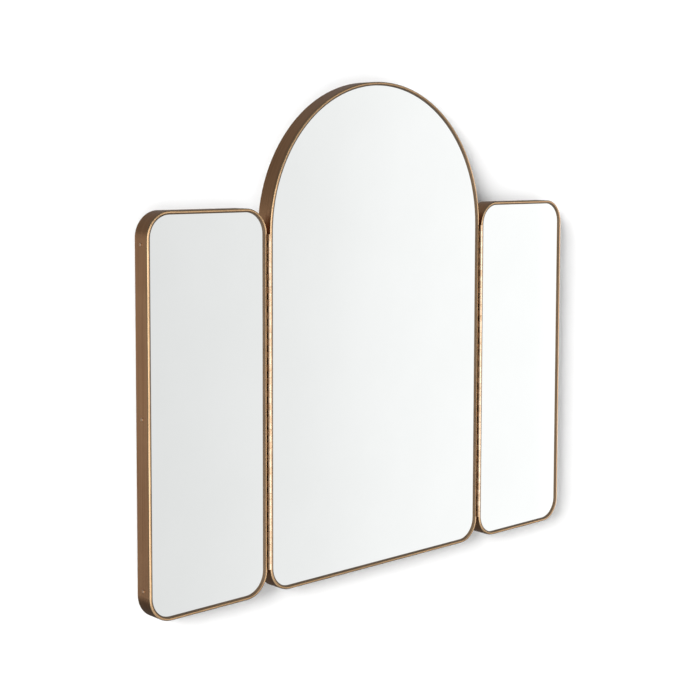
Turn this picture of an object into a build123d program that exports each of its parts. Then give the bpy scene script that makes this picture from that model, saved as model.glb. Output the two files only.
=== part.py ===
from build123d import *
from collections import namedtuple
import os

os.makedirs("parts", exist_ok=True)

# Wall-hung three-panel folding mirror: an arched centre panel and two lower wings on
# continuous hinges. X runs to the right, -Y out of the wall, +Z up. The wall is the
# plane Y = 0, and the origin lies midway between the two keyhole hangers on it.

# ---- panels ---------------------------------------------------------------------
centre_width = 606.0
centre_height = 1016.0
wing_width = 281.0
wing_height = 762.0
corner_radius = 50.0
hinge_gap = 8.0  # between the facing side walls of two panels

# ---- frame: an L-section band with a deep side wall and a narrow front lip --------
frame_depth = 38.0
wall_thickness = 1.5
lip_width = 7.2
lip_thickness = 3.2
outer_edge_radius = 2.0
inner_bevel_width = 2.5  # across the lip's face
inner_bevel_depth = 0.8
standoff = 2.0  # the frame's back edge to the wall

# ---- layers inside the frame, from the lip backwards ------------------------------
glass_thickness = 4.0
glass_clearance = 0.5
tape_thickness = 1.0
tape_width = 25.0
tape_margin = 40.0
centre_tape_strips = 4
wing_tape_strips = 2
board_thickness = 6.0

# ---- battens that fill the frame's depth behind the board -------------------------
batten_clearance = 0.3
stile_width = 20.0
rail_height = 48.0
hanging_rail_height = 60.0
hanging_rail_drop = 10.0  # below the line where the arch begins

# ---- continuous hinges --------------------------------------------------------
knuckle_pitch = 12.7
knuckle_radius = 3.4
knuckle_space = 0.4  # between one knuckle and the next
notch_clearance = 0.5  # round the other leaf's knuckles
pin_radius = 1.25
pin_clearance = 0.05
axis_forward = 2.0  # the pin ahead of the frames' front face
leaf_width = 25.4
leaf_thickness = 1.2

# ---- keyhole hangers ----------------------------------------------------------
hanger_spacing = 406.4
plate_width = 22.0
plate_height = 46.0
plate_thickness = 2.0
plate_corner = 5.5
entry_radius = 4.75
slot_width = 4.7
slot_rise = 11.0  # from the entry's centre to the slot's upper end
entry_drop = 4.0  # the entry's centre below the plate's middle
plate_screw_spacing = 34.0
pocket_width = 13.0
pocket_depth = 12.0
pocket_room = 2.0  # above the slot's end and below the entry

# ---- screws and bumpers -------------------------------------------------------
hole_clearance = 0.05
frame_screw_radius = 1.5
frame_screw_length = 14.0
frame_screw_head_radius = 3.0
frame_screw_head_height = 1.3
frame_screw_end = 11.0  # past the corner's round, to the first screw
frame_screw_back = 1.0  # behind the middle of the frame's depth
hinge_screw_radius = 1.5
hinge_screw_length = 15.0
hinge_screw_head_radius = 2.75
hinge_screw_head_height = 1.4
hinge_screw_count = 7
hinge_screw_edge = 6.9  # from the leaf's back edge
hinge_screw_end = 25.4  # from the hinge's end to its first screw
plate_screw_radius = 1.75
plate_screw_length = 16.0
plate_screw_head_radius = 3.4
recess_width = 0.7
point_share = 0.6  # of a screw's radius, taken off at its point
bumper_radius = 7.0
bumper_inset = 45.0
bumper_chamfer = 0.5
crown_angle = 60.0  # of the arch, between its two bumpers

# ---- sizes that follow --------------------------------------------------------
arch_radius = centre_width / 2
arch_start = centre_height - arch_radius  # above the panels' bottom edge
hanging_rail_top = arch_start - hanging_rail_drop
hanger_height = hanging_rail_top - hanging_rail_height / 2 - entry_drop
base = -hanger_height  # Z of every panel's bottom edge
front = standoff + frame_depth  # the lip's face, measured out from the wall
glass_front = front - lip_thickness
board_front = glass_front - glass_thickness - tape_thickness
batten_front = board_front - board_thickness
batten_depth = batten_front - standoff
screw_line = standoff + frame_depth / 2 - frame_screw_back
layer_inset = wall_thickness + glass_clearance
batten_inset = wall_thickness + batten_clearance
axis_out = front + axis_forward
hinge_x = centre_width / 2 + hinge_gap / 2
hinge_room = min(wing_height - corner_radius, arch_start) - corner_radius
knuckle_count = 2 * int(hinge_room / (2 * knuckle_pitch))
hinge_length = knuckle_count * knuckle_pitch
hinge_bottom = base + corner_radius + (hinge_room - hinge_length) / 2

Panel = namedtuple("Panel", "name middle width height arched")
wing_middle = centre_width / 2 + hinge_gap + wing_width / 2
centre = Panel("centre", 0.0, centre_width, centre_height, True)
left_wing = Panel("left_wing", -wing_middle, wing_width, wing_height, False)
right_wing = Panel("right_wing", wing_middle, wing_width, wing_height, False)


def out_from_wall(distance):
    """The upright plane at a distance in front of the wall, facing the room."""
    return Plane.XZ.offset(distance)


def draw_outline(panel, inset, mode=Mode.ADD):
    """Add a panel's outline to the open sketch, pulled in all round by inset."""
    left = panel.middle - panel.width / 2 + inset
    right = panel.middle + panel.width / 2 - inset
    bottom = base + inset
    top = base + panel.height - inset
    corner = corner_radius - inset
    shoulder = (right - left) / 2 if panel.arched else corner
    with BuildLine() as outline:
        Line((left, top - shoulder), (left, bottom + corner))
        CenterArc((left + corner, bottom + corner), corner, 180, 90)
        Line((left + corner, bottom), (right - corner, bottom))
        CenterArc((right - corner, bottom + corner), corner, 270, 90)
        Line((right, bottom + corner), (right, top - shoulder))
        CenterArc((right - shoulder, top - shoulder), shoulder, 0, 90)
        if not panel.arched:
            Line((right - shoulder, top), (left + shoulder, top))
        CenterArc((left + shoulder, top - shoulder), shoulder, 90, 90)
    make_face(outline.edges(), mode=mode)


def keep_between(left, right, bottom, top):
    """Cut the open sketch down to an upright rectangle given by its four sides."""
    with Locations(((left + right) / 2, (bottom + top) / 2)):
        Rectangle(right - left, top - bottom, mode=Mode.INTERSECT)


def save(part, name):
    """Label a finished piece and write it to its own file."""
    part.label = name
    export_step(part, f"parts/{name}.step")


# ---- screws -------------------------------------------------------------------
def make_pan_screw(radius, length, head_radius, head_height):
    """A pan-head screw: the seat under its head is the plane Z = 0."""
    with BuildPart() as screw:
        Cylinder(radius, length, align=(Align.CENTER, Align.CENTER, Align.MAX))
        chamfer(screw.edges().sort_by(Axis.Z)[0], radius * point_share)
        Cylinder(head_radius, head_height, align=(Align.CENTER, Align.CENTER, Align.MIN))
        fillet(screw.edges().sort_by(Axis.Z)[-1], head_height / 2)
        with Locations((0, 0, head_height)):
            Box(head_radius, recess_width, head_height, mode=Mode.SUBTRACT)
            Box(recess_width, head_radius, head_height, mode=Mode.SUBTRACT)
    return screw.part


def make_flat_screw(radius, length, head_radius):
    """A countersunk screw: the flat of its head is the plane Z = 0."""
    with BuildPart() as screw:
        Cylinder(radius, length, align=(Align.CENTER, Align.CENTER, Align.MAX))
        chamfer(screw.edges().sort_by(Axis.Z)[0], radius * point_share)
        Cone(
            radius,
            head_radius,
            plate_thickness,
            align=(Align.CENTER, Align.CENTER, Align.MAX),
        )
        Box(head_radius, recess_width, plate_thickness, mode=Mode.SUBTRACT)
        Box(recess_width, head_radius, plate_thickness, mode=Mode.SUBTRACT)
    return screw.part


def place_copies(piece, seats):
    """Copies of one fastener, each standing on its seat plane."""
    with BuildPart() as group:
        with Locations(*seats):
            add(piece)
    return group.part


def drill(seats, radius, depth):
    """Cut a round hole of the given depth below each seat in the open part."""
    with Locations(*seats):
        Cylinder(
            radius + hole_clearance,
            2 * depth,
            mode=Mode.SUBTRACT,
        )


def frame_screw_seats(panel):
    """Seats on a panel's outside walls: the wing's free side, and the bottom edge."""
    low = base + corner_radius + frame_screw_end
    seats = []
    if not panel.arched:
        side = 1 if panel.middle > 0 else -1
        wall = panel.middle + side * panel.width / 2
        high = base + panel.height - corner_radius - frame_screw_end
        for height in (low, (low + high) / 2, high):
            seats.append(Plane((wall, -screw_line, height), z_dir=(side, 0, 0)))
    reach = panel.width / 2 - corner_radius - frame_screw_end
    for across in (-reach, reach):
        seats.append(Plane((panel.middle + across, -screw_line, base), z_dir=(0, 0, -1)))
    return seats


def hinge_screw_seats(panel, side):
    """Seats on the leaf that lies on a panel's wall, where side is -1 or 1 along X."""
    face = panel.middle + side * (panel.width / 2 + leaf_thickness)
    across = -(axis_out - leaf_width + hinge_screw_edge)
    first = hinge_bottom + hinge_screw_end
    step = (hinge_length - 2 * hinge_screw_end) / (hinge_screw_count - 1)
    heights = [first + n * step for n in range(hinge_screw_count)]
    return [Plane((face, across, height), z_dir=(side, 0, 0)) for height in heights]


def hinge_sides(panel):
    """The sides of a panel that carry a hinge leaf."""
    if panel.arched:
        return (-1, 1)
    return (-1,) if panel.middle > 0 else (1,)


def drill_for_screws(panel):
    """Clear every screw that enters a panel's walls out of the open part."""
    drill(frame_screw_seats(panel), frame_screw_radius, frame_screw_length)
    for side in hinge_sides(panel):
        drill(hinge_screw_seats(panel, side), hinge_screw_radius, hinge_screw_length)


# ---- the layers of one panel ----------------------------------------------------
def make_frame(panel):
    """The metal band: outside wall, rounded front edge and bevelled lip."""
    with BuildPart() as frame:
        with BuildSketch(out_from_wall(standoff)):
            draw_outline(panel, 0)
        extrude(amount=frame_depth)
        fillet(frame.faces().sort_by(Axis.Y)[0].edges(), outer_edge_radius)
        with BuildSketch(out_from_wall(standoff)):
            draw_outline(panel, wall_thickness)
        extrude(amount=frame_depth - lip_thickness, mode=Mode.SUBTRACT)
        with BuildSketch(out_from_wall(standoff)):
            draw_outline(panel, lip_width)
        extrude(amount=frame_depth, mode=Mode.SUBTRACT)
        face = frame.faces().sort_by(Axis.Y)[0]
        window = face.inner_wires()[0].edges()
        chamfer(window, inner_bevel_width, inner_bevel_depth, reference=face)
        drill_for_screws(panel)
    return frame.part


def make_sheet(panel, back, thickness):
    """A flat sheet that fills the frame, its back face a distance out from the wall."""
    with BuildPart() as sheet:
        with BuildSketch(out_from_wall(back)):
            draw_outline(panel, layer_inset)
        extrude(amount=thickness)
    return sheet.part


def make_tape(panel):
    """Upright strips of foam tape that bond the mirror to its board."""
    bottom = base + tape_margin
    straight_top = arch_start if panel.arched else panel.height - tape_margin
    top = base + straight_top
    strips = centre_tape_strips if panel.arched else wing_tape_strips
    with BuildPart() as tape:
        with BuildSketch(out_from_wall(board_front)):
            with Locations((panel.middle, (bottom + top) / 2)):
                with GridLocations(panel.width / strips, 1, strips, 1):
                    Rectangle(tape_width, top - bottom)
        extrude(amount=tape_thickness)
    return tape.part


def make_batten(panel, left, right, bottom, top):
    """A batten behind the board: the part of the outline between four sides."""
    with BuildPart() as batten:
        with BuildSketch(out_from_wall(standoff)):
            draw_outline(panel, batten_inset)
            keep_between(left, right, bottom, top)
        extrude(amount=batten_depth)
        drill_for_screws(panel)
    return batten.part


def make_arch_batten():
    """The half ring of board that follows the centre panel's arch."""
    half = centre_width / 2
    with BuildPart() as batten:
        with BuildSketch(out_from_wall(standoff)):
            draw_outline(centre, batten_inset)
            draw_outline(centre, batten_inset + stile_width, mode=Mode.SUBTRACT)
            keep_between(-half, half, base + arch_start, base + centre_height)
        extrude(amount=batten_depth)
    return batten.part


def bumper_places(panel):
    """Where the bumpers sit on a panel's battens, as (x, z)."""
    reach = panel.width / 2 - bumper_inset
    low = base + batten_inset + rail_height / 2
    places = [(panel.middle - reach, low), (panel.middle + reach, low)]
    if panel.arched:
        ring = arch_radius - batten_inset - stile_width / 2
        first_angle = 90 - crown_angle / 2
        spots = PolarLocations(
            ring, 2, start_angle=first_angle, angular_range=crown_angle, endpoint=True
        )
        crown = [spot.position for spot in spots.local_locations]
        places += [(spot.X, base + arch_start + spot.Y) for spot in crown]
    else:
        high = base + panel.height - batten_inset - rail_height / 2
        places += [(panel.middle - reach, high), (panel.middle + reach, high)]
    return places


def make_bumpers(panel):
    """Soft round bumpers that keep a panel off the wall."""
    with BuildPart() as bumpers:
        with BuildSketch(out_from_wall(0)):
            with Locations(*bumper_places(panel)):
                Circle(bumper_radius)
        extrude(amount=standoff)
        chamfer(bumpers.edges().group_by(Axis.Y)[-1], bumper_chamfer)
    return bumpers.part


frame_screw = make_pan_screw(
    frame_screw_radius, frame_screw_length, frame_screw_head_radius, frame_screw_head_height
)
hinge_screw = make_pan_screw(
    hinge_screw_radius, hinge_screw_length, hinge_screw_head_radius, hinge_screw_head_height
)
plate_screw = make_flat_screw(plate_screw_radius, plate_screw_length, plate_screw_head_radius)

for panel in (centre, left_wing, right_wing):
    save(make_frame(panel), f"{panel.name}_frame")
    save(make_sheet(panel, glass_front - glass_thickness, glass_thickness), f"{panel.name}_mirror")
    save(make_tape(panel), f"{panel.name}_mirror_tape")
    save(make_sheet(panel, batten_front, board_thickness), f"{panel.name}_backboard")
    save(make_bumpers(panel), f"{panel.name}_bumpers")
    save(place_copies(frame_screw, frame_screw_seats(panel)), f"{panel.name}_frame_screws")

    left_side = panel.middle - panel.width / 2
    right_side = panel.middle + panel.width / 2
    rail_top = base + batten_inset + rail_height
    stile_top = base + arch_start
    save(make_batten(panel, left_side, right_side, base, rail_top), f"{panel.name}_bottom_rail")
    if not panel.arched:
        top_side = base + panel.height
        stile_top = top_side - batten_inset - rail_height
        top_rail = make_batten(panel, left_side, right_side, stile_top, top_side)
        save(top_rail, f"{panel.name}_top_rail")
    stile_reach = batten_inset + stile_width
    left_stile = make_batten(panel, left_side, left_side + stile_reach, rail_top, stile_top)
    save(left_stile, f"{panel.name}_left_stile")
    right_stile = make_batten(panel, right_side - stile_reach, right_side, rail_top, stile_top)
    save(right_stile, f"{panel.name}_right_stile")

save(make_arch_batten(), "centre_arch_batten")

# ---- hanging rail and keyhole hangers -------------------------------------------
hanger_places = [(-hanger_spacing / 2, 0), (hanger_spacing / 2, 0)]
plate_seats = [
    Plane((x, 0, z + entry_drop + offset), z_dir=(0, 1, 0))
    for x, z in hanger_places
    for offset in (-plate_screw_spacing / 2, plate_screw_spacing / 2)
]


def draw_upright_slot(x, width, bottom, top):
    """Add a round-ended upright slot to the open sketch, from bottom to top."""
    with Locations((x, (bottom + top) / 2)):
        SlotOverall(top - bottom, width, rotation=90)


pocket_bottom = -entry_radius - pocket_room
pocket_top = slot_rise + slot_width / 2 + pocket_room
rail_reach = centre_width / 2 - batten_inset - stile_width
with BuildPart() as hanging_rail:
    with BuildSketch(out_from_wall(standoff)):
        with Locations((0, entry_drop)):
            Rectangle(2 * rail_reach, hanging_rail_height)
    extrude(amount=batten_depth)
    with BuildSketch(out_from_wall(standoff)):
        for x, z in hanger_places:
            draw_upright_slot(x, pocket_width, pocket_bottom, pocket_top)
    extrude(amount=pocket_depth, mode=Mode.SUBTRACT)
    drill(plate_seats, plate_screw_radius, plate_screw_length)
save(hanging_rail.part, "centre_hanging_rail")

for side, (x, z) in zip(("left", "right"), hanger_places):
    with BuildPart() as plate:
        with BuildSketch(out_from_wall(0)):
            with Locations((x, entry_drop)):
                RectangleRounded(plate_width, plate_height, plate_corner)
            with Locations((x, z)):
                Circle(entry_radius, mode=Mode.SUBTRACT)
            with Locations((x, z + slot_rise / 2)):
                Rectangle(slot_width, slot_rise, mode=Mode.SUBTRACT)
            with Locations((x, z + slot_rise)):
                Circle(slot_width / 2, mode=Mode.SUBTRACT)
        extrude(amount=plate_thickness)
        with Locations(*[seat for seat in plate_seats if (seat.origin.X > 0) == (x > 0)]):
            Cone(
                plate_screw_radius + hole_clearance,
                plate_screw_head_radius + hole_clearance,
                plate_thickness,
                align=(Align.CENTER, Align.CENTER, Align.MAX),
                mode=Mode.SUBTRACT,
            )
    save(plate.part, f"{side}_keyhole_plate")
save(place_copies(plate_screw, plate_seats), "keyhole_plate_screws")


# ---- continuous hinges: two leaves with interleaved knuckles and one pin -----------
def make_leaf(axis_x, side, first_notch):
    """One hinge leaf, its plate on the given side of the pin and every other knuckle cut."""
    leaf_face = side * (hinge_gap - leaf_thickness) / 2
    with BuildPart() as leaf:
        with BuildSketch(Plane.XY.offset(hinge_bottom)):
            with Locations((axis_x, -axis_out)):
                Circle(knuckle_radius)
            with Locations((axis_x + leaf_face, -axis_out + leaf_width / 2)):
                Rectangle(leaf_thickness, leaf_width)
            with Locations((axis_x + leaf_face / 2, -axis_out + leaf_thickness / 2)):
                Rectangle(abs(leaf_face), leaf_thickness)
            with Locations((axis_x, -axis_out)):
                Circle(pin_radius + pin_clearance, mode=Mode.SUBTRACT)
        extrude(amount=hinge_length)
        notch = 2 * (knuckle_radius + notch_clearance)
        heights = [
            hinge_bottom + (n + 0.5) * knuckle_pitch
            for n in range(first_notch, knuckle_count, 2)
        ]
        with Locations(*[(axis_x, -axis_out, height) for height in heights]):
            Box(notch + hinge_gap, notch, knuckle_pitch + knuckle_space, mode=Mode.SUBTRACT)
        panel = centre if side * axis_x < 0 else (right_wing if axis_x > 0 else left_wing)
        drill(hinge_screw_seats(panel, -side), hinge_screw_radius, hinge_screw_length)
    return leaf.part


for name, axis_x, wing in (("left", -hinge_x, left_wing), ("right", hinge_x, right_wing)):
    outward = 1 if axis_x > 0 else -1
    save(make_leaf(axis_x, -outward, 1), f"{name}_hinge_centre_leaf")
    save(make_leaf(axis_x, outward, 0), f"{name}_hinge_wing_leaf")
    with BuildPart() as pin:
        with BuildSketch(Plane.XY.offset(hinge_bottom)):
            with Locations((axis_x, -axis_out)):
                Circle(pin_radius)
        extrude(amount=hinge_length)
    save(pin.part, f"{name}_hinge_pin")
    centre_screws = place_copies(hinge_screw, hinge_screw_seats(centre, outward))
    save(centre_screws, f"{name}_hinge_centre_screws")
    wing_screws = place_copies(hinge_screw, hinge_screw_seats(wing, -outward))
    save(wing_screws, f"{name}_hinge_wing_screws")
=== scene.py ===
import math

import bpy
from mathutils import Matrix, Vector


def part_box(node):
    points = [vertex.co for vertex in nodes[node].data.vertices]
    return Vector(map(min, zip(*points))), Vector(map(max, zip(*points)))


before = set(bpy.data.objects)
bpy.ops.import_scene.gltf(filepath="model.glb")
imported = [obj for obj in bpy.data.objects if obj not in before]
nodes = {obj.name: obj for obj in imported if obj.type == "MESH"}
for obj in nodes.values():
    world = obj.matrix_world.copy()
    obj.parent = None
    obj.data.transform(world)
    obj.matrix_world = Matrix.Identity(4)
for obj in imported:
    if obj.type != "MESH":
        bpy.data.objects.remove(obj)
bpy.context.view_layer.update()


# ---- Camera ---------------------------------------------------------------------------
# Stands to the left of the mirror at about the height of its middle and looks across
# it, a little downwards, so that the left wing's outside wall shows.
camera_place = (-2.0715, -2.1542, 0.1857)
camera_turn = math.radians(43.129)  # from straight at the wall, to the right
camera_dip = math.radians(4.137)
camera_roll = math.radians(0.149)
lens_length = 73.13
film_width = 36
frame_shift = -0.1244

ahead = Vector((
    math.sin(camera_turn) * math.cos(camera_dip),
    math.cos(camera_turn) * math.cos(camera_dip),
    -math.sin(camera_dip),
))
level = Vector((math.cos(camera_turn), -math.sin(camera_turn), 0))
upward = level.cross(ahead)
right = math.cos(camera_roll) * level + math.sin(camera_roll) * upward
top = math.cos(camera_roll) * upward - math.sin(camera_roll) * level
facing = Matrix((right, top, -ahead)).transposed().to_4x4()

camera = bpy.data.objects.new("camera", bpy.data.cameras.new("camera"))
camera.data.lens = lens_length
camera.data.sensor_width = film_width
camera.data.shift_y = frame_shift
camera.matrix_world = Matrix.Translation(camera_place) @ facing
bpy.context.scene.collection.objects.link(camera)
bpy.context.scene.camera = camera
bpy.context.scene.view_settings.view_transform = "Standard"


# ---- Metal bands ------------------------------------------------------------------------
# Each panel is framed by one band of steel, bent round its outline and welded shut. It is
# brushed along its length, plated in bronze and lacquered. The outer edge is rubbed pale,
# and dark patina is left in the shallow bevel next to the glass.
corner_radius = 0.050
edge_depth = (0.0004, 0.0026)  # the rubbed edge fades out between these, from the front
edge_width = (-0.0024, -0.0006)  # and fades in between these, from the outline
lip_depth = (0.0034, 0.0040)  # the lip gives way to the side wall between these
bevel_start = -0.0043  # from the outline, on the lip
bevel_blur = 0.0003
bronze_deep = (0.53, 0.275, 0.138)
bronze_pale = (0.69, 0.388, 0.205)
bronze_rubbed = (0.72, 0.55, 0.37)
bronze_lip = (0.43, 0.295, 0.162)
patina = (0.036, 0.022, 0.012)
hairline_spread = (1500, 7)  # lines per metre, across the brushing and along it
scratch_spread = (520, 3)
cloud_spread = 9.0
hairline_height = 0.00026


class Wire:
    """One value between two nodes. Arithmetic on it adds Math nodes."""

    def __init__(self, finish, socket):
        self.finish = finish
        self.socket = socket

    def tap(self, name):
        """Another output of the same node."""
        return Wire(self.finish, self.socket.node.outputs[name])

    def math(self, operation, first, second):
        return self.finish.add("ShaderNodeMath", {"operation": operation}, {0: first, 1: second})

    def __add__(self, other):
        return self.math("ADD", self, other)

    __radd__ = __add__

    def __sub__(self, other):
        return self.math("SUBTRACT", self, other)

    def __rsub__(self, other):
        return self.math("SUBTRACT", other, self)

    def __mul__(self, other):
        return self.math("MULTIPLY", self, other)

    __rmul__ = __mul__

    def __truediv__(self, other):
        return self.math("DIVIDE", self, other)

    def __pow__(self, other):
        return self.math("POWER", self, other)

    def __abs__(self):
        return self.math("ABSOLUTE", self, 0)

    def most(self, other):
        return self.math("MAXIMUM", self, other)

    def least(self, other):
        return self.math("MINIMUM", self, other)


class Finish:
    """A surface finish being made up, node by node, on a material or the room's air."""

    def __init__(self, owner):
        self.owner = owner
        owner.use_nodes = True
        self.tree = owner.node_tree
        self.tree.nodes.clear()

    def add(self, kind, settings={}, sockets={}, output=0):
        """One node: its settings first, then its sockets. Gives the wire from an output."""
        node = self.tree.nodes.new(kind)
        for name, value in settings.items():
            if name == "stops":
                self.set_stops(node.color_ramp, value)
            else:
                setattr(node, name, value)
        for name, value in sockets.items():
            socket = node.inputs[name]
            if isinstance(value, Wire):
                self.tree.links.new(value.socket, socket)
            elif isinstance(value, tuple) and socket.type == "RGBA":
                socket.default_value = (*value, 1)
            else:
                socket.default_value = value
        return Wire(self, node.outputs[output] if node.outputs else None)

    def set_stops(self, ramp, stops):
        while len(ramp.elements) < len(stops):
            ramp.elements.new(1)
        for element, (place, colour) in zip(ramp.elements, stops):
            element.position = place
            element.color = (*colour, 1)

    def place(self):
        """The point on the piece, in metres as it was made, and its three measures."""
        spot = self.add("ShaderNodeTexCoord", output="Object")
        parts = self.add("ShaderNodeSeparateXYZ", {}, {0: spot})
        return spot, parts.tap("X"), parts.tap("Y"), parts.tap("Z")

    def vector(self, x, y, z):
        return self.add("ShaderNodeCombineXYZ", {}, {0: x, 1: y, 2: z})

    def grain(self, vector, scale, detail=3.0, roughness=0.55, depth=None):
        """Cloudy noise from 0 to 1. A fourth coordinate keeps it from repeating."""
        sockets = {"Vector": vector, "Scale": scale, "Detail": detail, "Roughness": roughness}
        if depth is None:
            return self.add("ShaderNodeTexNoise", {}, sockets, "Fac")
        sockets["W"] = depth
        return self.add("ShaderNodeTexNoise", {"noise_dimensions": "4D"}, sockets, "Fac")

    def rise(self, value, start, end):
        """0 below start, 1 above end, and a smooth climb between them."""
        sockets = {"Value": value, "From Min": start, "From Max": end}
        return self.add("ShaderNodeMapRange", {"interpolation_type": "SMOOTHSTEP"}, sockets)

    def tint(self, amount, first, second):
        """A colour between two others."""
        settings = {"data_type": "RGBA"}
        return self.add("ShaderNodeMix", settings, {0: amount, 6: first, 7: second}, 2)

    def relief(self, height, distance):
        return self.add("ShaderNodeBump", {}, {"Height": height, "Distance": distance})

    def coat(self, **sockets):
        """The finished surface, with socket names written with underscores."""
        named = {name.replace("_", " "): value for name, value in sockets.items()}
        surface = self.add("ShaderNodeBsdfPrincipled", {}, named)
        self.add("ShaderNodeOutputMaterial", {}, {"Surface": surface})
        return self.owner


def new_finish(name):
    return Finish(bpy.data.materials.new(name))


def give(material, *names):
    """Put a finish on the named pieces in place of the plain one they came with."""
    for name in names:
        for slot in nodes[name].material_slots:
            slot.material = material


def outline_distance(x, z, panel):
    """How far a point lies outside a panel's outline; inside it is negative."""
    low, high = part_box(f"{panel}_frame")
    middle, half = (low.x + high.x) / 2, (high.x - low.x) / 2
    across = abs(x - middle)
    shoulder = half if panel == "centre" else corner_radius

    def round_end(radius, beyond):
        side = (across - (half - radius)).most(0)
        end = beyond.most(0)
        return (side * side + end * end) ** 0.5 - radius

    upper = round_end(shoulder, z - (high.z - shoulder))
    lower = round_end(corner_radius, (low.z + corner_radius) - z)
    return upper.most(lower)


def make_bronze(panel):
    work = new_finish(f"brushed_bronze_{panel}")
    spot, x, y, z = work.place()
    outside = outline_distance(x, z, panel)
    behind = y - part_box(f"{panel}_frame")[0].y

    def brushing(spread):
        across, along = spread
        vector = work.vector(outside * across, y * across, x * along)
        return work.grain(vector, 1.0, 2.0, 0.6, z * along)

    hairlines = brushing(hairline_spread)
    scratches = brushing(scratch_spread)
    clouds = work.grain(spot, cloud_spread)
    tone = work.rise(scratches * 0.7 + clouds * 0.3, 0.34, 0.66)
    on_lip = 1 - work.rise(behind, *lip_depth)
    near_edge = (1 - work.rise(behind, *edge_depth)) * work.rise(outside, *edge_width)
    on_face = work.rise(outside, bevel_start - bevel_blur, bevel_start + bevel_blur)
    darkened = on_lip * (1 - on_face) * (0.82 + 0.18 * clouds)
    plating = work.tint(tone, bronze_deep, bronze_pale)
    plating = work.tint(on_lip * 0.75, plating, bronze_lip)
    plating = work.tint(near_edge * 0.3, plating, bronze_rubbed)
    return work.coat(
        Base_Color=work.tint(darkened, plating, patina),
        Metallic=1 - 0.9 * darkened,
        Roughness=0.17 + 0.08 * scratches + 0.04 * clouds + 0.2 * darkened,
        Specular_IOR_Level=0.3,
        Normal=work.relief(hairlines, hairline_height),
    )


for panel in ("centre", "left_wing", "right_wing"):
    give(make_bronze(panel), f"{panel}_frame")


# ---- Mirrors ------------------------------------------------------------------------------
# Plain 4 mm float glass, silvered and painted on the back and cut to the outline. It is
# flat and clean, with only the faint haze and roller waves of float glass.
silver_light = (0.972, 0.988, 0.982)
silver_dim = (0.955, 0.972, 0.965)
haze_spread = 5.0
wave_spread = (2.0, 9.0)  # across the glass and up it
wave_height = 0.00002

work = new_finish("silvered_glass")
_, x, _, z = work.place()
haze = work.grain(work.vector(x, 0.0, z), haze_spread, 4.0)
waves = work.grain(work.vector(x * wave_spread[0], 0.0, z * wave_spread[1]), 1.0, 1.0)
silvered = work.coat(
    Base_Color=work.tint(work.rise(haze, 0.3, 0.7), silver_dim, silver_light),
    Metallic=1.0,
    Roughness=0.012 + 0.02 * haze,
    Normal=work.relief(waves, wave_height),
)
give(silvered, "centre_mirror", "left_wing_mirror", "right_wing_mirror")


# ---- Foam tape ----------------------------------------------------------------------------
# Strips of closed-cell foam, sticky on both faces, bond each mirror to its board. The
# cut cells show as small pits, painted darker towards their bottoms as painted shade.
foam_light = (0.78, 0.78, 0.75)
foam_pit_shade = (0.52, 0.52, 0.50)
cells_per_metre = 1400.0
cell_depth = 0.0002

work = new_finish("closed_cell_foam")
spot, _, _, _ = work.place()
sockets = {"Vector": spot, "Scale": cells_per_metre}
cells = work.add("ShaderNodeTexVoronoi", {}, sockets, "Distance")
foam = work.coat(
    # Painted shade: the colour darkens where the bump sinks deepest in each pit.
    Base_Color=work.tint(cells, foam_pit_shade, foam_light),
    Roughness=0.85,
    Normal=work.relief(cells, cell_depth),
)
give(foam, "centre_mirror_tape", "left_wing_mirror_tape", "right_wing_mirror_tape")


# ---- Back boards --------------------------------------------------------------------------
# A 6 mm fibreboard sheet fills each frame behind the glass, held by the battens. Its back
# is left raw, and pressed fibres show there as brown flecks.
fibre_brown = (0.36, 0.215, 0.115)
fibre_tan = (0.52, 0.345, 0.205)
fleck_spread = 620.0
press_spread = 14.0
fleck_height = 0.00025

work = new_finish("fibreboard")
spot, _, _, _ = work.place()
flecks = work.grain(spot, fleck_spread, 4.0, 0.7)
press = work.grain(spot, press_spread)
mixed = work.rise(flecks * 0.75 + press * 0.25, 0.36, 0.64)
board = work.coat(
    Base_Color=work.tint(mixed, fibre_brown, fibre_tan),
    Roughness=0.72 + 0.15 * flecks,
    Normal=work.relief(flecks, fleck_height),
)
give(board, "centre_backboard", "left_wing_backboard", "right_wing_backboard")


# ---- Battens and the hanging rail -----------------------------------------------------------
# Plywood strips fill each frame's depth behind the board and take the screws. Their faces
# show pine veneer, grain along the strip, and their cut edges show the plies.
pine_light = (0.72, 0.53, 0.33)
pine_dark = (0.52, 0.34, 0.185)
ply_light = (0.66, 0.48, 0.30)
ply_dark = (0.36, 0.22, 0.12)
ply_thickness = 0.0017
ply_wander = 0.5  # in plies
wander_spread = 20.0
bend_spread = (14.0, 2.5)  # per metre, across the grain and along it
bend_reach = 9.0  # in rings
ring_spread = (95.0, 30.0, 3.0)  # across, through the strip, and along
pore_spread = (900.0, 40.0)
veneer_height = 0.0003


def make_plywood(name, upright):
    work = new_finish(name)
    spot, x, y, z = work.place()
    along, across = (z, x) if upright else (x, z)

    def fibres(spread):
        wide, long = spread
        return work.grain(work.vector(across * wide, y * wide, along * long), 1.0, 2.0)

    wide, through, long = ring_spread
    bent = across * wide + fibres(bend_spread) * bend_reach
    rings = work.grain(work.vector(bent, y * through, along * long), 1.0)
    pores = fibres(pore_spread)
    figure = work.rise(rings * 0.75 + pores * 0.25, 0.32, 0.66)
    veneer = work.tint(figure, pine_light, pine_dark)
    wander = work.grain(spot, wander_spread, 1.0)
    depth = y / ply_thickness + wander * ply_wander
    layers = work.add("ShaderNodeMath", {"operation": "PINGPONG"}, {0: depth, 1: 1.0})
    cut = work.tint(layers * 0.75 + pores * 0.25, ply_light, ply_dark)
    outward = work.add("ShaderNodeNewGeometry", output="True Normal")
    to_wall = abs(work.add("ShaderNodeSeparateXYZ", {}, {0: outward}, "Y"))
    return work.coat(
        Base_Color=work.tint(work.rise(to_wall, 0.5, 0.7), cut, veneer),
        Roughness=0.62 + 0.2 * pores,
        Normal=work.relief(figure * 0.6 + pores * 0.4, veneer_height),
    )


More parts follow.
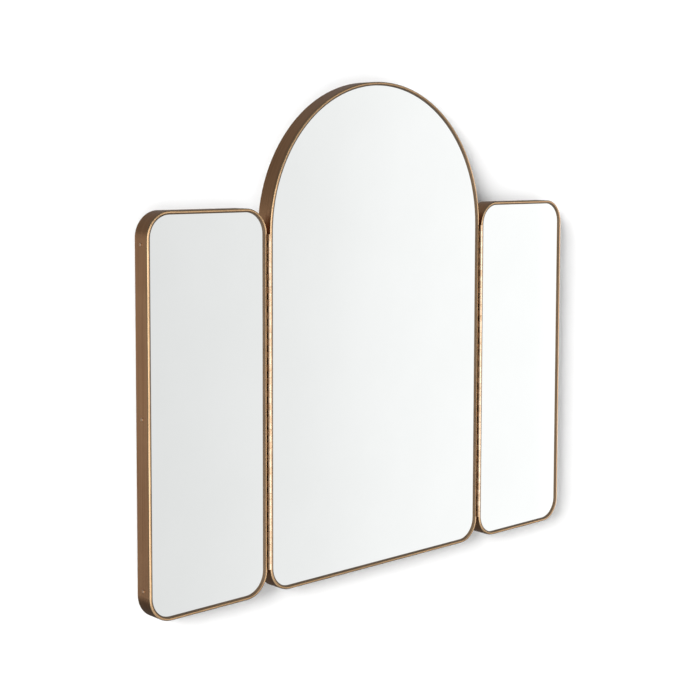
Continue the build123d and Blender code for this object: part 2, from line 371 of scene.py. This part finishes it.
upright_ply = make_plywood("plywood_upright", True)
level_ply = make_plywood("plywood_level", False)
for panel in ("centre", "left_wing", "right_wing"):
    give(upright_ply, f"{panel}_left_stile", f"{panel}_right_stile")
    give(level_ply, f"{panel}_bottom_rail")
give(level_ply, "left_wing_top_rail", "right_wing_top_rail")
give(level_ply, "centre_hanging_rail", "centre_arch_batten")


# ---- Bumpers ------------------------------------------------------------------------------
# Soft dark rubber dots, stuck to the battens, hold the panels just clear of the wall.
# Some dust clings to them.
rubber_dark = (0.045, 0.045, 0.048)
rubber_dusty = (0.10, 0.10, 0.098)
dust_spread = 260.0
dust_height = 0.0002

work = new_finish("soft_rubber")
spot, _, _, _ = work.place()
dust = work.grain(spot, dust_spread, 4.0)
rubber = work.coat(
    Base_Color=work.tint(work.rise(dust, 0.45, 0.75), rubber_dark, rubber_dusty),
    Roughness=0.55 + 0.25 * dust,
    Normal=work.relief(dust, dust_height),
)
give(rubber, "centre_bumpers", "left_wing_bumpers", "right_wing_bumpers")


# ---- Screws in the bands --------------------------------------------------------------------
# Small pan-head steel screws go through the side walls into the battens. They are plated
# in bronze like the bands, and their colour is painted paler than the bands' as a painted
# highlight, paler still in random spots.
# Painted highlight: both screw colours are kept paler than the bands' plating.
screw_deep = (0.72, 0.50, 0.33)
screw_highlight_pale = (0.95, 0.74, 0.54)
wear_spread = 900.0
wear_height = 0.00006

work = new_finish("bronze_plated_screw")
spot, _, _, _ = work.place()
wear_and_highlight = work.grain(spot, wear_spread, 4.0)
screw_bronze = work.coat(
    Base_Color=work.tint(work.rise(wear_and_highlight, 0.3, 0.7), screw_deep, screw_highlight_pale),
    Metallic=1.0,
    Roughness=0.22 + 0.2 * wear_and_highlight,
    Normal=work.relief(wear_and_highlight, wear_height),
)
for panel in ("centre", "left_wing", "right_wing"):
    give(screw_bronze, f"{panel}_frame_screws")


# ---- Continuous hinges ------------------------------------------------------------------------
# Rolled brass strip: two leaves with 52 knuckles between them, screwed inside the gap
# between two panels. The knuckles' front is left bright, and all brass deeper in the gap is
# painted dark as painted shade; the centre leaf's brass is painted lighter than the wing leaf's
# as painted light.
brass_deep = (0.40, 0.26, 0.15)
brass_bright = (0.62, 0.47, 0.335)
brass_painted_shade = (0.10, 0.042, 0.018)
# Painted light: both leaves are the same brass, but the centre leaf's is painted lighter than
# the wing leaf's.
centre_leaf_painted_light = 0.33
wing_leaf_painted_light = 0.26
lit_depth = 0.0030  # behind the front of the knuckles; anything deeper is painted shade
painted_shade_fade = 0.0008
drawn_spread = (1800.0, 12.0)  # per metre, across the strip and along it
tarnish_spread = 40.0
drawn_height = 0.00008
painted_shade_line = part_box("left_hinge_centre_leaf")[0].y + lit_depth


def make_brass(name, painted_light):
    work = new_finish(name)
    spot, x, y, z = work.place()
    wide, long = drawn_spread
    drawn = work.grain(work.vector(x * wide, y * wide, z * long), 1.0, 2.0)
    tarnish = work.grain(spot, tarnish_spread, 4.0)
    # A larger painted light value shifts the tone towards the bright brass: painted light.
    tone = work.rise(drawn * 0.4 + tarnish * 0.6, 0.62 - painted_light, 0.90 - painted_light)
    # Painted shade: brass deeper than the knuckles' front is darkened, standing in for the shade
    # in the gap between the panels.
    shaded = work.rise(y, painted_shade_line, painted_shade_line + painted_shade_fade)
    clean = work.tint(tone, brass_deep, brass_bright)
    return work.coat(
        Base_Color=work.tint(shaded * 0.85, clean, brass_painted_shade),
        Metallic=1.0,
        Roughness=0.2 + 0.16 * tarnish,
        Normal=work.relief(drawn, drawn_height),
    )


centre_brass = make_brass("rolled_brass_centre", centre_leaf_painted_light)
wing_brass = make_brass("rolled_brass_wing", wing_leaf_painted_light)
for side in ("left", "right"):
    give(centre_brass, f"{side}_hinge_centre_leaf", f"{side}_hinge_centre_screws")
    give(wing_brass, f"{side}_hinge_wing_leaf", f"{side}_hinge_wing_screws")


# ---- Hinge pins ---------------------------------------------------------------------------
# Each hinge turns on one straight steel wire that runs its full length. The die it was
# drawn through leaves long fine marks.
wire_dark = (0.42, 0.40, 0.37)
wire_light = (0.68, 0.66, 0.62)
mark_spread = (3000.0, 20.0)  # per metre, across the wire and along it
mark_height = 0.00004

work = new_finish("drawn_wire")
_, x, y, z = work.place()
wide, long = mark_spread
marks = work.grain(work.vector(x * wide, y * wide, z * long), 1.0, 2.0)
wire = work.coat(
    Base_Color=work.tint(marks, wire_dark, wire_light),
    Metallic=1.0,
    Roughness=0.25 + 0.2 * marks,
    Normal=work.relief(marks, mark_height),
)
give(wire, "left_hinge_pin", "right_hinge_pin")


# ---- Keyhole plates -----------------------------------------------------------------------
# Two pressed steel plates on the hanging rail, zinc plated, with countersunk screws. The
# plating shows faint crystals under a slight smear.
zinc_dark = (0.46, 0.48, 0.50)
zinc_light = (0.74, 0.76, 0.78)
crystals_per_metre = 260.0
smear_spread = 700.0
smear_height = 0.00005

work = new_finish("zinc_plate")
spot, _, _, _ = work.place()
sockets = {"Vector": spot, "Scale": crystals_per_metre}
crystals = work.add("ShaderNodeTexVoronoi", {}, sockets, "Color")
shade = work.add("ShaderNodeSeparateColor", {}, {0: crystals}, "Red")
smear = work.grain(spot, smear_spread)
zinc = work.coat(
    Base_Color=work.tint(shade * 0.6 + smear * 0.4, zinc_dark, zinc_light),
    Metallic=1.0,
    Roughness=0.26 + 0.16 * shade + 0.08 * smear,
    Normal=work.relief(smear, smear_height),
)
give(zinc, "left_keyhole_plate", "right_keyhole_plate", "keyhole_plate_screws")


# ---- Room: wall and floor -------------------------------------------------------------------
# A white painted wall that the mirror hangs on and a pale floor a metre and a half below
# it. Each shows from its room side only, so the back can be looked at as well, and the
# wall lets light through to the back.
floor_level = -1.48
room_reach = 23.0
wall_white = (0.90, 0.90, 0.90)
wall_shade = (0.885, 0.885, 0.885)
floor_pale = (0.82, 0.815, 0.81)
floor_shade = (0.79, 0.785, 0.78)
mottle_spread = 1.5


def make_paint(name, colour, shade):
    work = new_finish(name)
    spot, _, _, _ = work.place()
    mottle = work.grain(spot, mottle_spread, 2.0)
    paint = work.add("ShaderNodeBsdfPrincipled", {}, {
        "Base Color": work.tint(mottle, shade, colour),
        "Roughness": 1.0,
        "Specular IOR Level": 0.0,
    })
    clear = work.add("ShaderNodeBsdfTransparent")
    away = work.add("ShaderNodeNewGeometry", output="Backfacing")
    surface = work.add("ShaderNodeMixShader", {}, {0: away, 1: paint, 2: clear})
    work.add("ShaderNodeOutputMaterial", {}, {"Surface": surface})
    return work.owner


def make_sheet(name, corners, faces, material):
    """A stage piece from its corners and faces, kept out of every reflection."""
    mesh = bpy.data.meshes.new(name)
    mesh.from_pydata(corners, [], faces)
    mesh.materials.append(material)
    sheet = bpy.data.objects.new(name, mesh)
    sheet.visible_glossy = False
    bpy.context.scene.collection.objects.link(sheet)
    return sheet


wall_corners = [
    (-room_reach, 0, floor_level), (room_reach, 0, floor_level),
    (room_reach, 0, room_reach), (-room_reach, 0, room_reach),
]
floor_corners = [
    (-room_reach, -room_reach, floor_level), (room_reach, -room_reach, floor_level),
    (room_reach, room_reach, floor_level), (-room_reach, room_reach, floor_level),
]
whole = [(0, 1, 2, 3)]
wall = make_sheet("wall", wall_corners, whole, make_paint("wall_paint", wall_white, wall_shade))
wall.visible_diffuse = False
wall.visible_shadow = False
make_sheet("floor", floor_corners, whole, make_paint("floor_paint", floor_pale, floor_shade))


# ---- Cloths -------------------------------------------------------------------------------
# White cloths hung all round the studio, far off. One set is only the pale background,
# and the other lights the wall evenly from the front.
cloth_reach = 24.0
background_glow = 0.92
lighting_glow = 0.36


def hang_cloth(name, glow):
    work = new_finish(name)
    lit = work.add("ShaderNodeEmission", {}, {"Color": (1.0, 1.0, 1.0), "Strength": glow})
    work.add("ShaderNodeOutputMaterial", {}, {"Surface": lit})
    work.owner.cycles.emission_sampling = "NONE"
    ends = (-cloth_reach, cloth_reach)
    corners = [(x, y, z) for x in ends for y in ends for z in ends]
    sides = [(0, 1, 3, 2), (4, 6, 7, 5), (0, 4, 5, 1), (2, 3, 7, 6), (0, 2, 6, 4), (1, 5, 7, 3)]
    cloth = make_sheet(name, corners, sides, work.owner)
    cloth.visible_shadow = False
    return cloth


hang_cloth("background_cloth", background_glow).visible_diffuse = False
hang_cloth("lighting_cloth", lighting_glow).visible_camera = False


# ---- Lamps --------------------------------------------------------------------------------
# Soft daylight rakes across the wall from the left and a little above, which lays the
# shadows to the right and below, and a panel behind lights the back of the mirror.
daylight_from = (-2.7, -0.9, 1.0)
daylight_strength = 7.9
daylight_softness = math.radians(31)
panel_from = (1.2, 3.0, 1.8)
panel_width = 2.0
panel_watts = 60

daylight = bpy.data.lights.new("daylight", "SUN")
daylight.energy = daylight_strength
daylight.angle = daylight_softness
back_panel = bpy.data.lights.new("back_panel", "AREA")
back_panel.shape = "SQUARE"
back_panel.size = panel_width
back_panel.energy = panel_watts
for lamp, place in ((daylight, daylight_from), (back_panel, panel_from)):
    light = bpy.data.objects.new(lamp.name, lamp)
    light.location = place
    light.rotation_euler = (-Vector(place)).to_track_quat("-Z", "Y").to_euler()
    light.visible_camera = False
    light.visible_glossy = False
    bpy.context.scene.collection.objects.link(light)


# ---- Air ----------------------------------------------------------------------------------
# What the metal and the glass see round them: a bright band at eye height that grows from
# the front to a tall white panel on the right, dim air above it, and below it a floor
# that is pale in front and dark at the sides.
band_middle = -0.12
band_edge = (0.19, 0.30)  # it fades out between these, up and down from its middle
floor_fade = 0.1
dim_air = 0.2
off_wall = 0.03  # the share that reaches the wall by way of the metal
brightest = 5.0
# Light by bearing, which goes once round from the wall by way of the left, the front
# at a half, and the right.
band_turns = [
    (0.0, 0.28), (0.10, 0.40), (0.19, 0.34), (0.28, 0.45), (0.40, 0.60), (0.435, 3.4),
    (0.565, 3.6), (0.585, 1.0), (0.592, 0.745), (0.6164, 0.87), (0.624, 0.945),
    (0.642, 1.03), (0.655, 1.5), (0.675, 2.8), (0.78, 2.8), (0.82, 0.3), (1.0, 0.28),
]
floor_turns = [
    (0.0, 0.10), (0.22, 0.12), (0.34, 0.75), (0.575, 0.80), (0.615, 0.12), (1.0, 0.10),
]

work = Finish(bpy.data.worlds.new("studio"))
bpy.context.scene.world = work.owner
work.owner.cycles_visibility.camera = False
work.owner.cycles_visibility.diffuse = False
bearing = work.add("ShaderNodeTexCoord", output="Generated")
gaze = work.add("ShaderNodeSeparateXYZ", {}, {0: bearing})
height = gaze.tap("Z")
sideways, forwards = gaze.tap("X"), 0 - gaze.tap("Y")
turn = work.add("ShaderNodeMath", {"operation": "ARCTAN2"}, {0: sideways, 1: forwards})


def light_round(turns):
    stops = [(place, (light / brightest,) * 3) for place, light in turns]
    ring = work.add("ShaderNodeValToRGB", {"stops": stops}, {0: turn / math.tau + 0.5})
    return work.add("ShaderNodeSeparateColor", {}, {0: ring}, "Red") * brightest


above = work.rise(height, band_middle - floor_fade, band_middle)
floor_glow = light_round(floor_turns)
far_glow = floor_glow + (dim_air - floor_glow) * above
in_band = 1 - work.rise(abs(height - band_middle), *band_edge)
glow = far_glow + (light_round(band_turns) - far_glow) * in_band
bounced = work.add("ShaderNodeLightPath", output="Diffuse Depth").least(1)
strength = glow * (1 - (1 - off_wall) * bounced)
air = work.add("ShaderNodeBackground", {}, {"Color": (1.0, 1.0, 1.0), "Strength": strength})
work.add("ShaderNodeOutputWorld", {}, {"Surface": air})
